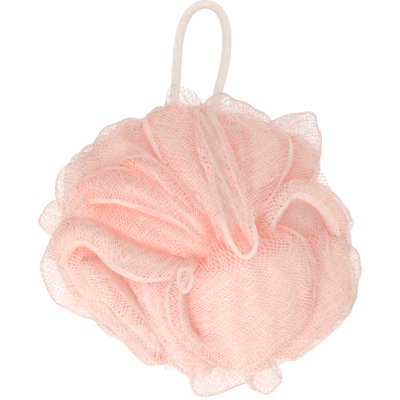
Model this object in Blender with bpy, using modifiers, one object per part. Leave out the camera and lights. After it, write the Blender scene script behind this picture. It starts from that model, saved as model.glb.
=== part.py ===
"""A mesh bath pouf: tube netting folded to and fro and bound at its waist, with a cord loop for hanging. It
lies on its back, as it comes to rest on a shelf. The netting's folds fan out from the waist, those of the
upper half towards +Z and those of the lower half towards the shelf, and the loop lies towards +Y. Metres,
+Z up, with the origin under the middle of the netting, on the shelf.
"""

import math

import bmesh
import bpy
import numpy as np
from mathutils import Vector

MM = 0.001

# The netting as it lies, without its cord. The folds below are drawn at this size.
BODY_WIDTH = 133 * MM
BODY_DEPTH = 129 * MM
BODY_HEIGHT = 92 * MM
DRAWN_SPAN = (133, 129, 92)

# The waist, where the binding draws the netting in
WAIST_X = 1 * MM
WAIST_Y = -4 * MM
WAIST_HEIGHT = 42 * MM
WAIST_RADIUS = 8 * MM
LOWER_ROOT_DROP = 6 * MM

# The netting is two layers thick in a fold, and bunched solid round the waist.
FOLD_THICKNESS = 3.4 * MM
BUNCH_WIDTH = 82 * MM
BUNCH_DEPTH = 78 * MM
BUNCH_HEIGHT = 66 * MM
FLAT_SPOT_RADIUS = 17 * MM

# How far a fold bellies up or down beside the waist and near its rim, in shares of its own length
UPPER_LIFT = 0.15
UPPER_ARCH = 0.26
LOWER_LIFT = 0.1
LOWER_ARCH = 0.16

# How much the upper half's shoulders rise above the hand-placed heights, which makes it rounder
SHOULDER_RISE = 7 * MM

# How steeply a band's side drops from its edge, and how far it spreads at the waist, in shares of the
# side's length. How far a band's end reaches beyond its edges and drops, and its width there, in shares
# of the band's width.
SIDE_DROP = 0.3
SIDE_SPREAD = 0.4
END_REACH = 0.08
END_DROP = 0.6
END_WIDTH = 0.1

# How finely the folds are drawn
RIM_STEP = 5 * MM
ROWS_ALONG = 8
SURFACE_GRAIN = 1.3 * MM
NETTING_TRIANGLES = 8400

# The binding round the waist: turns of twine drawn tight, and the knot that they end in
TWINE_DIAMETER = 2.4 * MM
TWINE_TURNS = 3
KNOT_WIDTH = 14 * MM
KNOT_DEPTH = 8 * MM
KNOT_HEIGHT = 10 * MM
KNOT_ROUNDING = 2.5 * MM

# The cord. Its two legs start at the knot, side by side.
CORD_DIAMETER = 3.8 * MM
CORD_STEP = 2 * CORD_DIAMETER
LEG_SPREAD = 7 * MM
LEG_STRAIGHT = 6 * MM

# Room between pieces that touch
GAP = 0.3 * MM

# Upper folds round the outside. Each rim is a line through hand-placed points, (x, y, height) in
# millimetres at the drawn size.
UPPER_FOLDS = {
    "beside_cord_left": [
        (-16, 46, 47), (-14, 56, 47), (-12, 63, 47), (-7, 64, 48), (-1, 60, 49), (3, 53, 50),
    ],
    "beside_cord_right": [(0, 52, 42), (4, 59, 43), (9, 61, 44), (19, 57, 46), (29, 50, 47), (37, 41, 47)],
    "corner": [
        (24, 42, 52), (30, 50, 54), (38, 52, 54), (47, 52, 52), (50, 41, 50), (48, 33, 50),
        (40, 25, 53),
    ],
    "right_shoulder": [(42, 36, 45), (49, 31, 45), (54, 22, 44), (60, 11, 43), (57, 4, 43), (50, -2, 44)],
    "right_edge": [(52, 5, 46), (64, -3, 45), (66, -14, 44), (64, -26, 44), (57, -32, 45), (49, -30, 47)],
    "lower_right": [(59, -27, 37), (53, -38, 37), (45, -43, 38), (34, -44, 39), (26, -43, 41)],
    "bottom_tab": [
        (-6, -46, 45), (-4, -56, 42), (-2, -63, 40), (4, -64, 38), (12, -61, 38), (20, -58, 39),
        (24, -51, 42),
    ],
    "bottom_corner": [
        (19, -54, 38), (22, -61, 36), (27, -64, 35), (31, -61, 35), (34, -57, 36), (30, -53, 39),
        (25, -48, 42),
    ],
    "cut_end": [(-38, -33, 45), (-25, -44, 44), (-14, -52, 44), (-9, -50, 46), (-4, -43, 48)],
    "left_edge": [
        (-58, 4, 44), (-65, -6, 43), (-64, -17, 42), (-60, -25, 42), (-51, -29, 42), (-40, -34, 43),
        (-33, -33, 45),
    ],
    "left_point": [(-54, 20, 47), (-61, 16, 46), (-66, 9, 44), (-62, 3, 44), (-55, 4, 46)],
    "left_knob": [(-55, 12, 50), (-59, 18, 51), (-58, 27, 52), (-52, 32, 54), (-47, 29, 55), (-46, 21, 57)],
    "left_knob_behind": [(-47, 24, 50), (-50, 33, 48), (-47, 39, 48), (-42, 39, 49), (-39, 32, 52)],
    "upper_left": [
        (-45, 34, 50), (-41, 45, 50), (-32, 50, 51), (-26, 50, 52), (-22, 46, 54), (-20, 35, 58),
    ],
    "top_left": [(-23, 44, 56), (-21, 52, 55), (-15, 55, 56), (-7, 54, 58), (0, 50, 60), (4, 40, 64)],
}

# Upper bands: the folds in front, whose broad backs are seen. Each lies between two edges, which are lines
# through hand-placed points like the rims, and it bellies up by so many millimetres between them. From
# both edges its sides run down to the waist.
UPPER_BANDS = {
    "tongue": {
        "left": [
            (-3, 52, 66), (0, 43, 74), (3, 31, 80), (6, 19, 84), (9, 8, 87), (12, 0, 87), (16, -5, 83),
        ],
        "right": [
            (5, 51, 64), (10, 41, 72), (14, 30, 78), (18, 18, 83), (20, 9, 86), (22, 2, 86),
            (22, -4, 83),
        ],
        "belly": -1.5,
    },
    "smooth_face": {
        "left": [(-21, 50, 59), (-19, 42, 66), (-14, 32, 72), (-7, 22, 77), (0, 12, 81), (6, 4, 81)],
        "right": [(3, 53, 60), (6, 43, 67), (9, 31, 73), (12, 19, 78), (14, 9, 81), (13, 1, 80)],
        "belly": 4,
    },
    "upper_band": {
        "left": [(-30, 33, 65), (-22, 35, 69), (-14, 30, 74), (-7, 22, 79), (0, 13, 84), (5, 7, 83)],
        "right": [(-27, 28, 67), (-20, 25, 72), (-14, 20, 77), (-7, 14, 81), (0, 9, 84), (4, 4, 83)],
        "belly": 1,
    },
    "long_band": {
        "left": [(-47, 24, 59), (-38, 28, 63), (-27, 28, 68), (-16, 24, 74), (-6, 17, 79), (3, 9, 83)],
        "right": [(-44, 18, 61), (-36, 17, 68), (-25, 15, 74), (-15, 12, 79), (-5, 7, 83), (3, 1, 84)],
        "belly": 2,
    },
    "left_tongue": {
        "left": [
            (-47, 25, 50), (-39, 23, 57), (-26, 20, 64), (-14, 16, 70), (-3, 11, 76), (5, 6, 80),
            (9, 3, 80),
        ],
        "right": [
            (-50, 8, 53), (-41, 4, 59), (-29, 1, 66), (-16, -3, 72), (-4, -5, 78), (3, -5, 81),
            (8, -3, 80),
        ],
        "belly": 3,
    },
    "left_rim": {
        "left": [
            (-60, -3, 47), (-56, 5, 52), (-48, 10, 56), (-39, 8, 60), (-30, 2, 64), (-20, -3, 69),
            (-11, -6, 74), (-2, -7, 77),
        ],
        "right": [
            (-55, -8, 50), (-52, -2, 56), (-47, 0, 62), (-41, -3, 67), (-34, -9, 70), (-23, -14, 73),
            (-12, -14, 77), (-3, -11, 79),
        ],
        "belly": 2.5,
    },
    "cup_face": {
        "left": [
            (-57, -8, 45), (-53, -17, 45), (-46, -26, 45), (-37, -34, 44), (-28, -42, 43),
            (-20, -49, 42),
        ],
        "right": [
            (-42, 2, 55), (-33, -6, 59), (-24, -13, 62), (-15, -20, 62), (-9, -29, 58), (-4, -39, 52),
        ],
        "belly": 4,
    },
    "second_rim": {
        "left": [(-46, -9, 57), (-41, -19, 58), (-34, -28, 57), (-26, -37, 54), (-18, -46, 49)],
        "right": [(-41, -8, 60), (-35, -15, 63), (-28, -23, 63), (-20, -32, 60), (-14, -40, 54)],
        "belly": 1.5,
    },
    "lower_face": {
        "left": [(-27, -14, 63), (-23, -23, 63), (-19, -32, 60), (-14, -42, 53), (-9, -50, 46)],
        "right": [(-4, -13, 75), (-4, -22, 73), (-3, -32, 67), (0, -42, 59), (6, -50, 50)],
        "belly": 3,
    },
    "crevice_rim": {
        "left": [
            (-7, -10, 80), (-11, -18, 79), (-11, -28, 76), (-8, -37, 69), (1, -45, 60), (13, -50, 53),
            (25, -51, 48),
        ],
        "right": [
            (-3, -9, 82), (-7, -18, 81), (-7, -28, 78), (-4, -36, 72), (4, -41, 65), (15, -45, 58),
            (26, -46, 52),
        ],
        "belly": 1,
    },
    "dome": {
        "left": [(4, -6, 74), (-3, -10, 76), (-8, -16, 75), (-9, -27, 70), (-5, -37, 63), (7, -46, 53)],
        "right": [(22, 4, 74), (31, 6, 74), (41, 1, 68), (46, -14, 60), (43, -31, 54), (31, -43, 50)],
        "belly": 13,
    },
    "right_face": {
        "left": [(2, 49, 58), (4, 43, 64), (8, 34, 70), (11, 25, 75), (14, 16, 79), (17, 8, 81)],
        "right": [(26, 47, 56), (35, 42, 61), (36, 34, 67), (32, 25, 73), (26, 16, 79), (21, 8, 82)],
        "belly": 4,
    },
    "right_slope": {
        "left": [(27, 44, 51), (29, 34, 57), (26, 24, 65), (22, 12, 73)],
        "right": [(46, 38, 48), (47, 28, 53), (39, 19, 64), (27, 9, 74)],
        "belly": 2,
    },
    "right_arch": {
        "left": [
            (22, 2, 75), (25, 11, 76), (29, 19, 74), (37, 24, 69), (47, 23, 62), (56, 17, 55),
            (61, 8, 49),
        ],
        "right": [
            (26, 0, 76), (30, 9, 78), (34, 15, 77), (38, 19, 74), (45, 17, 68), (51, 12, 62),
            (55, 5, 56),
        ],
        "belly": 2,
    },
    "coral_crevice": {
        "left": [(17, 14, 77), (20, 6, 78), (22, -2, 78), (22, -8, 77)],
        "right": [(27, 17, 73), (28, 8, 75), (30, 1, 75), (30, -5, 74)],
        "belly": 1,
    },
    "right_hollow": {
        "left": [(27, 4, 66), (36, 0, 60), (43, -6, 54), (46, -15, 48)],
        "right": [(36, 20, 66), (46, 19, 59), (56, 12, 52), (61, 0, 46)],
        "belly": 0,
    },
    "right_flank": {
        "left": [(40, 1, 58), (42, -10, 54), (41, -23, 51), (35, -35, 49), (27, -45, 46)],
        "right": [(56, 4, 50), (61, -8, 46), (62, -22, 44), (56, -34, 42), (42, -45, 40)],
        "belly": 4,
    },
    "upper_left_face": {
        "left": [(-47, 32, 48), (-40, 28, 56), (-30, 24, 63), (-20, 20, 69)],
        "right": [(-13, 51, 51), (-9, 43, 58), (-3, 33, 65), (4, 21, 72)],
        "belly": 6,
    },
    "left_side_face": {
        "left": [(-54, 28, 48), (-54, 17, 50), (-54, 5, 49)],
        "right": [(-41, 34, 52), (-36, 22, 57), (-37, 8, 57)],
        "belly": 4,
    },
}

# Lower folds run right round the waist. Each is a rim of so many lobes, with its mean half width, half
# depth and height, how far the lobes swing in and out, up and down and back over themselves (degrees),
# how much higher one side of the rim lies than the middle, and the turn of the first lobe and of that
# side (degrees). Lengths are in millimetres at the drawn size.
LOWER_FOLDS = [
    {
        "half": (52, 47), "height": 37, "lobes": 9, "swing": 4.0, "rise": 11.0,
        "fold_back": 14, "slope": 2, "turn": 10,
    },
    {
        "half": (51, 48), "height": 27, "lobes": 8, "swing": 5.0, "rise": 12.0,
        "fold_back": 18, "slope": 4, "turn": 215,
    },
    {
        "half": (46, 43), "height": 18, "lobes": 10, "swing": 5.5, "rise": 11.0,
        "fold_back": 14, "slope": 4, "turn": 75,
    },
    {
        "half": (37, 35), "height": 9, "lobes": 8, "swing": 5.5, "rise": 8.0,
        "fold_back": 18, "slope": 2, "turn": 300,
    },
    {
        "half": (23, 22), "height": 3, "lobes": 6, "swing": 4.5, "rise": 4.0,
        "fold_back": 20, "slope": 0, "turn": 20,
    },
]

# The cord's route from the knot to the loop and back, (x, y, height) in millimetres. It is the cord's own
# line, chosen by hand, and it comes down to lie on the shelf at the loop's end.
LOOP_ROUTE = [
    (-9.0, 30, 41), (-11.3, 44, 36.5), (-10.8, 56, 29.5), (-10.0, 66, 22.5),
    (-9.5, 74, 16.0), (-9.0, 82, 10.0), (-7.9, 89, 5.4), (-5.6, 95, 2.8), (-2.2, 98.8, 2.1),
    (2.2, 100.4, 2.0), (6.6, 99.2, 2.1), (9.8, 95.4, 2.8), (11.3, 90.0, 4.8), (11.6, 83.5, 8.8),
    (11.0, 76.5, 14.0), (9.6, 69.5, 19.5), (7.8, 62.5, 25.0), (6.8, 53, 30.5), (7.4, 40, 36), (7.0, 28, 40),
]


def clear_scene():
    for obj in list(bpy.data.objects):
        bpy.data.objects.remove(obj)


def new_collection(name):
    made = bpy.data.collections.new(name)
    bpy.context.scene.collection.children.link(made)
    return made


def link(obj, collection, helper=False):
    """Puts the object in its collection. A helper, such as a cutter, is left out of the model."""
    collection.objects.link(obj)
    if helper:
        obj.hide_render = True
        obj.display_type = "WIRE"
    return obj


def material(name, colour, roughness):
    made = bpy.data.materials.new(name)
    made.use_nodes = True
    shader = made.node_tree.nodes["Principled BSDF"]
    shader.inputs["Base Color"].default_value = (*colour, 1)
    shader.inputs["Roughness"].default_value = roughness
    shader.inputs["Metallic"].default_value = 0
    made.diffuse_color = (*colour, 1)
    return made


def drawn(points):
    """Points in millimetres at the drawn size, in metres at the body's own size."""
    return np.array(points, float) * np.array([BODY_WIDTH, BODY_DEPTH, BODY_HEIGHT]) / DRAWN_SPAN


def shouldered(points):
    """The points, with those between the middle and the outside raised."""
    share = np.hypot(points[:, 0] - WAIST_X, points[:, 1] - WAIST_Y) / (BODY_WIDTH / 2)
    share = np.clip(share, 0, 1)
    raised = points.copy()
    raised[:, 2] += 6.75 * share**2 * (1 - share) * SHOULDER_RISE
    return raised


def with_ends(left, right):
    """Both edges of a band, with a point added beyond each end where they nearly meet, lower down."""
    edges = [list(left), list(right)]
    for end, inner in ((0, 1), (-1, -2)):
        across = right[end] - left[end]
        middle = (left[end] + right[end]) / 2
        out = middle - (left[inner] + right[inner]) / 2
        out /= np.linalg.norm(out)
        width = np.linalg.norm(across)
        tip = middle + END_REACH * width * out - np.array([0, 0, END_DROP * width])
        for edge, side in zip(edges, (-0.5, 0.5)):
            edge.insert(0 if end == 0 else len(edge), tip + side * END_WIDTH * across)
    return np.array(edges[0]), np.array(edges[1])


def smooth_line(points, step, closed=False):
    """A smooth curve through the points, as points about a step apart."""
    fine, along = smooth_curve(points, closed)
    count = max(6, round(along[-1] / step)) + 1
    at = np.linspace(0, along[-1], count)
    return np.stack([np.interp(at, along, fine[:, k]) for k in range(3)], axis=1)


def spaced(points, count):
    """A smooth curve through the points, as so many points, each the same share of the way from one hand
    point to the next."""
    fine, _ = smooth_curve(points, False)
    at = np.linspace(0, len(fine) - 1, count)
    return np.stack([np.interp(at, np.arange(len(fine)), fine[:, k]) for k in range(3)], axis=1)


def smooth_curve(points, closed):
    """A smooth curve through the points, as many points, and its length up to each."""
    points = np.array(points, float)
    if closed:
        ends = np.concatenate([points[-1:], points, points[:2]])
    else:
        ends = np.concatenate([2 * points[:1] - points[1:2], points, 2 * points[-1:] - points[-2:-1]])
    t = np.linspace(0, 1, 12, endpoint=False)[:, None]
    pieces = []
    for a, b, c, d in zip(ends, ends[1:], ends[2:], ends[3:]):
        bend = 2 * a - 5 * b + 4 * c - d
        twist = 3 * b - a - 3 * c + d
        pieces.append(b + 0.5 * ((c - a) * t + bend * t**2 + twist * t**3))
    fine = np.concatenate([*pieces, points[:1] if closed else points[-1:]])
    along = np.concatenate([[0], np.cumsum(np.linalg.norm(np.diff(fine, axis=0), axis=1))])
    return fine, along


def fold_surface(rim, root, lift, arch, side):
    """The middle of a fold, as rows of points from its root at the waist to its rim. It bellies to its
    side, which is 1 for up and -1 for down, by lift and arch times its own length."""
    reach = np.linalg.norm(rim - root, axis=1)[:, None]
    bow = np.array([0, 0, side])
    near = root + 0.25 * (rim - root) + lift * reach * bow
    far = root + 0.72 * (rim - root) + arch * reach * bow
    v = np.linspace(0, 1, ROWS_ALONG)[:, None, None]
    return (1 - v) ** 3 * root + 3 * (1 - v) ** 2 * v * near + 3 * (1 - v) * v**2 * far + v**3 * rim


def band_surface(left, right, belly):
    """The middle of a band's netting, as rows of points from the waist up one side, over its back and down
    the other side to the waist."""
    back = np.linspace(0, 1, ROWS_ALONG)[:, None, None]
    up = np.cross(right - left, np.gradient(left + right, axis=0))
    up /= np.maximum(np.linalg.norm(up, axis=1), 1e-9)[:, None]
    up *= np.where(up[:, 2:] < 0, -1, 1)
    swell = belly * np.sqrt(np.sin(np.linspace(0, math.pi, len(left))).clip(0))[:, None]
    over = left + back * (right - left) + 4 * swell * back * (1 - back) * up
    level = 0.7 * WAIST_HEIGHT + 0.3 * float((left + right)[:, 2].mean()) / 2
    sides = []
    for edge in (left, right):
        root = root_of(edge, level)
        reach = np.linalg.norm(edge - root, axis=1)[:, None]
        near = root + SIDE_SPREAD * (edge - root)
        far = edge - SIDE_DROP * reach * np.array([0, 0, 1])
        v = np.linspace(0, 1, ROWS_ALONG)[:-1, None, None]
        low = (1 - v) ** 3 * root + 3 * (1 - v) ** 2 * v * near
        sides.append(low + 3 * (1 - v) * v**2 * far + v**3 * edge)
    return np.concatenate([sides[0], over, sides[1][::-1]])


def root_of(rim, level):
    """Where the foot of each rib of a fold leaves the waist, on the rib's own side of it."""
    middle = np.array([WAIST_X, WAIST_Y, 0])
    out = rim - middle
    out[:, 2] = 0
    out /= np.maximum(np.linalg.norm(out, axis=1), 1e-6)[:, None]
    return middle + 0.7 * WAIST_RADIUS * out + np.array([0, 0, level])


def lower_rim(fold):
    """The rim of a lower fold, whose lobes swing out, rise and lean back over themselves."""
    half_width, half_depth = fold["half"]
    points = []
    count = 8 * fold["lobes"]
    for i in range(count):
        angle = 2 * math.pi * i / count
        beat = fold["lobes"] * angle
        lean = angle + math.radians(fold["turn"] + fold["fold_back"] * math.sin(beat))
        swing = fold["swing"] * math.cos(beat)
        height = fold["height"] + fold["rise"] * math.sin(beat + 0.6) + fold["slope"] * math.cos(angle)
        x = (half_width + swing) * math.cos(lean)
        y = (half_depth + swing) * math.sin(lean)
        points.append((x, y, height))
    return points


def grid_mesh(name, rows, closed):
    """An open surface through rows of points."""
    count = rows.shape[1]
    points = rows.reshape(-1, 3)
    faces = []
    for r in range(rows.shape[0] - 1):
        for c in range(count - 1):
            a = r * count + c
            faces.append((a, a + 1, a + 1 + count, a + count))
    made = bpy.data.meshes.new(name)
    made.from_pydata(points.tolist(), [], faces)
    if closed:
        shell = bmesh.new()
        shell.from_mesh(made)
        bmesh.ops.remove_doubles(shell, verts=shell.verts, dist=0.01 * MM)
        shell.to_mesh(made)
        shell.free()
    return made


def fold_object(name, rows, closed, helpers):
    obj = link(bpy.data.objects.new(name, grid_mesh(name, rows, closed)), helpers, helper=True)
    shell = obj.modifiers.new("thickness", "SOLIDIFY")
    shell.thickness = FOLD_THICKNESS
    shell.offset = 0
    return obj


def fold_objects(helpers):
    made = []
    for name, points in UPPER_FOLDS.items():
        rim = smooth_line(shouldered(drawn(points)), RIM_STEP)
        level = 0.7 * WAIST_HEIGHT + 0.3 * float(rim[:, 2].mean())
        rows = fold_surface(rim, root_of(rim, level), UPPER_LIFT, UPPER_ARCH, 1)
        made.append(fold_object(name, rows, False, helpers))
    for name, band in UPPER_BANDS.items():
        left, right = with_ends(shouldered(drawn(band["left"])), shouldered(drawn(band["right"])))
        count = round(float(np.linalg.norm(np.diff(left + right, axis=0), axis=1).sum()) / 2 / RIM_STEP)
        rows = band_surface(spaced(left, count), spaced(right, count), band["belly"] * MM)
        made.append(fold_object(name, rows, False, helpers))
    for number, fold in enumerate(LOWER_FOLDS):
        rim = smooth_line(drawn(lower_rim(fold)), RIM_STEP, closed=True)
        root = root_of(rim, WAIST_HEIGHT - LOWER_ROOT_DROP)
        rows = fold_surface(rim, root, LOWER_LIFT, LOWER_ARCH, -1)
        made.append(fold_object(f"lower_fold_{number + 1}", rows, True, helpers))
    return made


def as_helper(obj, name, helpers):
    """Names a new primitive and moves it to the helpers."""
    obj.name = name
    for old in list(obj.users_collection):
        old.objects.unlink(obj)
    return link(obj, helpers, helper=True)


def flat_spot_object(helpers):
    """The netting pressed flat under the middle, where the pouf rests."""
    bpy.ops.mesh.primitive_cone_add(
        vertices=24,
        radius1=FLAT_SPOT_RADIUS,
        radius2=BUNCH_WIDTH / 2,
        depth=WAIST_HEIGHT,
        location=(WAIST_X, WAIST_Y, WAIST_HEIGHT / 2 - SURFACE_GRAIN),
    )
    return as_helper(bpy.context.object, "flat_spot", helpers)


def bunch_object(helpers):
    """The netting bunched solid round the waist."""
    bpy.ops.mesh.primitive_uv_sphere_add(segments=32, ring_count=20, radius=0.5)
    obj = as_helper(bpy.context.object, "bunch", helpers)
    obj.scale = (BUNCH_WIDTH, BUNCH_DEPTH, BUNCH_HEIGHT)
    obj.location = (WAIST_X, WAIST_Y, WAIST_HEIGHT)
    return obj


def joined_mesh(name, objects):
    """One mesh of all the objects as they stand, modifiers included."""
    graph = bpy.context.evaluated_depsgraph_get()
    every = bmesh.new()
    for obj in objects:
        solid = bpy.data.meshes.new_from_object(obj.evaluated_get(graph))
        solid.transform(obj.matrix_world)
        every.from_mesh(solid)
    bmesh.ops.recalc_face_normals(every, faces=every.faces)
    made = bpy.data.meshes.new(name)
    every.to_mesh(made)
    every.free()
    return made


def baked(obj, mesh_name):
    """The object's mesh with its modifiers applied. The object is then removed."""
    graph = bpy.context.evaluated_depsgraph_get()
    made = bpy.data.meshes.new_from_object(obj.evaluated_get(graph))
    made.transform(obj.matrix_world)
    made.name = mesh_name
    bpy.data.objects.remove(obj)
    return made


def keep_largest_body(mesh):
    """Leaves only the body with the most points, without crumbs beside it."""
    shell = bmesh.new()
    shell.from_mesh(mesh)
    unseen = set(shell.verts)
    bodies = []
    while unseen:
        body = {unseen.pop()}
        edge = list(body)
        while edge:
            point = edge.pop()
            for link_edge in point.link_edges:
                other = link_edge.other_vert(point)
                if other in unseen:
                    unseen.remove(other)
                    body.add(other)
                    edge.append(other)
        bodies.append(body)
    bodies.sort(key=len)
    for body in bodies[:-1]:
        bmesh.ops.delete(shell, geom=list(body), context="VERTS")
    shell.to_mesh(mesh)
    shell.free()


def tube(name, route, radius, collection, helper=False):
    """A round tube along the route, as a closed mesh."""
    line = bpy.data.curves.new(name, "CURVE")
    line.dimensions = "3D"
    line.bevel_depth = radius
    line.bevel_resolution = 2
    line.use_fill_caps = True
    spline = line.splines.new("POLY")
    spline.points.add(len(route) - 1)
    for point, place in zip(spline.points, route):
        point.co = (*place, 1)
    obj = link(bpy.data.objects.new(name, line), collection, helper)
    return obj


def solid_tube(name, route, radius, helpers):
    """A round tube along the route, as a closed mesh that can be joined or can cut."""
    line = tube(name, route, radius, helpers, helper=True)
    mesh = baked(line, name)
    shell = bmesh.new()
    shell.from_mesh(mesh)
    bmesh.ops.remove_doubles(shell, verts=shell.verts, dist=0.01 * MM)
    bmesh.ops.recalc_face_normals(shell, faces=shell.faces)
    shell.to_mesh(mesh)
    shell.free()
    return link(bpy.data.objects.new(name, mesh), helpers, helper=True)


def block(name, low, high, helpers, rounding=0.0):
    """A box between two corners, with rounded edges if asked."""
    low, high = Vector(low), Vector(high)
    bpy.ops.mesh.primitive_cube_add(size=1, location=(low + high) / 2)
    obj = as_helper(bpy.context.object, name, helpers)
    for vertex in obj.data.vertices:
        vertex.co = [vertex.co[k] * (high - low)[k] for k in range(3)]
    if rounding:
        edge = obj.modifiers.new("rounding", "BEVEL")
        edge.width = rounding
        edge.segments = 3
        edge.limit_method = "NONE"
    return obj


def boolean(obj, other, operation):
    cut = obj.modifiers.new(other.name, "BOOLEAN")
    cut.operation = operation
    cut.object = other
    cut.solver = "EXACT"


def knot_front():
    """How far towards +Y the knot's flat front face lies."""
    return WAIST_Y + WAIST_RADIUS + KNOT_DEPTH - TWINE_DIAMETER / 2


def twine_route():
    """The turns of twine round the waist. They start and end inside the knot."""
    pitch = TWINE_DIAMETER + 3 * GAP
    steps = 14
    route = []
    for i in range(steps * TWINE_TURNS + 1):
        angle = 2 * math.pi * i / steps + math.pi / 2
        x = WAIST_X + WAIST_RADIUS * math.cos(angle)
        y = WAIST_Y + WAIST_RADIUS * math.sin(angle)
        route.append((x, y, WAIST_HEIGHT + pitch * (i / steps - TWINE_TURNS / 2)))
    return route


def tie_shape(name, room, helpers):
    """The binding as one closed shape, grown by room all round."""
    obj = solid_tube(name, twine_route(), TWINE_DIAMETER / 2 + room, helpers)
    back = WAIST_Y + WAIST_RADIUS - TWINE_DIAMETER / 2
    low = (WAIST_X - KNOT_WIDTH / 2 - room, back - room, WAIST_HEIGHT - KNOT_HEIGHT / 2 - room)
    high = (WAIST_X + KNOT_WIDTH / 2 + room, knot_front() + room, WAIST_HEIGHT + KNOT_HEIGHT / 2 + room)
    knot = block(name + "_knot", low, high, helpers, KNOT_ROUNDING)
    boolean(obj, knot, "UNION")
    return obj


def cord_route():
    """The cord's centre line from the knot round the loop and back to it, in metres."""
    front = knot_front() + GAP
    left = WAIST_X - LEG_SPREAD / 2
    right = WAIST_X + LEG_SPREAD / 2
    ways = [(left, front, WAIST_HEIGHT), (left, front + LEG_STRAIGHT, WAIST_HEIGHT)]
    ways += [(x * MM, y * MM, z * MM) for x, y, z in LOOP_ROUTE]
    ways += [(right, front + LEG_STRAIGHT, WAIST_HEIGHT), (right, front, WAIST_HEIGHT)]
    return smooth_line(ways, CORD_STEP)


def gathered_netting(helpers):
    """All the folds and the bunched middle as one closed body."""
    loose = fold_objects(helpers) + [bunch_object(helpers), flat_spot_object(helpers)]
    bpy.context.view_layer.update()
    obj = link(bpy.data.objects.new("gathered", joined_mesh("gathered", loose)), helpers, helper=True)
    for old in loose:
        bpy.data.objects.remove(old)
    fuse = obj.modifiers.new("fuse", "REMESH")
    fuse.mode = "VOXEL"
    fuse.voxel_size = SURFACE_GRAIN
    fused = baked(obj, "fused")
    keep_largest_body(fused)
    obj = link(bpy.data.objects.new("gathered", fused), helpers, helper=True)
    thin = obj.modifiers.new("thin", "DECIMATE")
    triangles = sum(len(face.vertices) - 2 for face in fused.polygons)
    thin.ratio = NETTING_TRIANGLES / triangles
    made = baked(obj, "netting")
    keep_largest_body(made)
    return made


def make_netting(parts, helpers):
    obj = link(bpy.data.objects.new("netting", gathered_netting(helpers)), parts)
    obj.data.materials.append(material("pink netting", (0.98, 0.72, 0.66), 0.55))
    under = block(
        "under_the_shelf",
        (-BODY_WIDTH, -BODY_DEPTH, -BODY_HEIGHT),
        (BODY_WIDTH, BODY_DEPTH, 0),
        helpers,
    )
    route = cord_route()
    away = Vector((0, 2 * GAP, 0))
    channel_route = [Vector(route[0]) - away, *route, Vector(route[-1]) - away]
    channel = solid_tube("cord_channel", channel_route, CORD_DIAMETER / 2 + GAP, helpers)
    boolean(obj, under, "DIFFERENCE")
    boolean(obj, channel, "DIFFERENCE")
    boolean(obj, tie_shape("tie_room", GAP, helpers), "DIFFERENCE")
    obj.data.shade_smooth()
    return obj


def make_waist_tie(parts, helpers):
    mesh = baked(tie_shape("tie", 0.0, helpers), "waist_tie")
    obj = link(bpy.data.objects.new("waist_tie", mesh), parts)
    obj.data.materials.append(material("cream twine", (0.86, 0.81, 0.74), 0.7))
    return obj


def make_hanging_loop(parts):
    obj = tube("hanging_loop", cord_route(), CORD_DIAMETER / 2, parts)
    obj.data.materials.append(material("cream cord", (0.8, 0.74, 0.66), 0.7))
    return obj


def main():
    clear_scene()
    parts = new_collection("mesh_bath_pouf")
    helpers = new_collection("helpers")
    helpers.hide_render = True
    make_netting(parts, helpers)
    make_waist_tie(parts, helpers)
    make_hanging_loop(parts)


main()
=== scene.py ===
import math

import bpy
import numpy as np
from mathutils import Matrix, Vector
from mathutils.bvhtree import BVHTree


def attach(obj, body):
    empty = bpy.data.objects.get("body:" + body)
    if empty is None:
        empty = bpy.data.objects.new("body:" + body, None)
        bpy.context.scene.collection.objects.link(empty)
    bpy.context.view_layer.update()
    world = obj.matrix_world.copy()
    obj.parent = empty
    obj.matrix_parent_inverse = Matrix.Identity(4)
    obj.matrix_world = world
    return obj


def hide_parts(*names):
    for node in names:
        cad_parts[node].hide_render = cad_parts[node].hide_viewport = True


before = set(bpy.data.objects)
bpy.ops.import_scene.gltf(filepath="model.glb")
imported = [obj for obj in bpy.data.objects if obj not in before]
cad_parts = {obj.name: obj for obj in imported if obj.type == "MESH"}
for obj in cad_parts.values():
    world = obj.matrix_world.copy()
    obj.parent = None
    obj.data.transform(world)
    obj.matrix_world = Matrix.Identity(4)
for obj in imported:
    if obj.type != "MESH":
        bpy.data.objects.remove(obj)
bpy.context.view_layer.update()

MM = 0.001

# The netting as it lies, and the waist where it is bound: the same sizes as the solids
BODY_WIDTH = 133 * MM
BODY_DEPTH = 129 * MM
BODY_HEIGHT = 92 * MM
DRAWN_SPAN = (133, 129, 92)
WAIST = np.array([1, -4, 42]) * MM
WAIST_RADIUS = 8 * MM
LOWER_ROOT_DROP = 6 * MM
FOLD_THICKNESS = 3.4 * MM
SHOULDER_RISE = 7 * MM
BUNCH = np.array([82, 78, 66]) * MM

# How far a fold bellies up or down beside the waist and near its rim, in shares of its own length
UPPER_BELLY = (0.15, 0.26)
LOWER_BELLY = (0.1, 0.16)

# Where along a fold that is, and how many rows of points its middle surface has
BELLY_AT = (0.25, 0.72)
FOLD_ROWS = 41

# A band's rows of points: on each side, on its back, and on the whole once they are spread evenly. How far
# apart the points of a row are.
SIDE_ROWS = 15
BACK_ROWS = 24
BAND_ROWS = 121
BAND_STEP = 1.5 * MM

# The sides and ends of a band, as in the solids
SIDE_DROP = 0.3
SIDE_SPREAD = 0.4
END_REACH = 0.08
END_DROP = 0.6
END_WIDTH = 0.1

# The netting: diamonds of two crossing sets of strands, (width, height) of a diamond, on the bands, on the
# loose outer folds, and on the lower folds and the bunch. Beside the waist a share is left out.
FINE_CELL = (1.35 * MM, 1.45 * MM)
LOOSE_CELL = (1.8 * MM, 2.0 * MM)
COARSE_CELL = (1.9 * MM, 2.2 * MM)
BAND_INSET = 0.2
LOOSE_INSET = 0.35
LOWER_INSET = 0.3
STRAND_WIDTH = 0.39 * MM
LOOSE_STRAND_WIDTH = 0.34 * MM
STRAND_TILT = math.radians(8)

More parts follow.
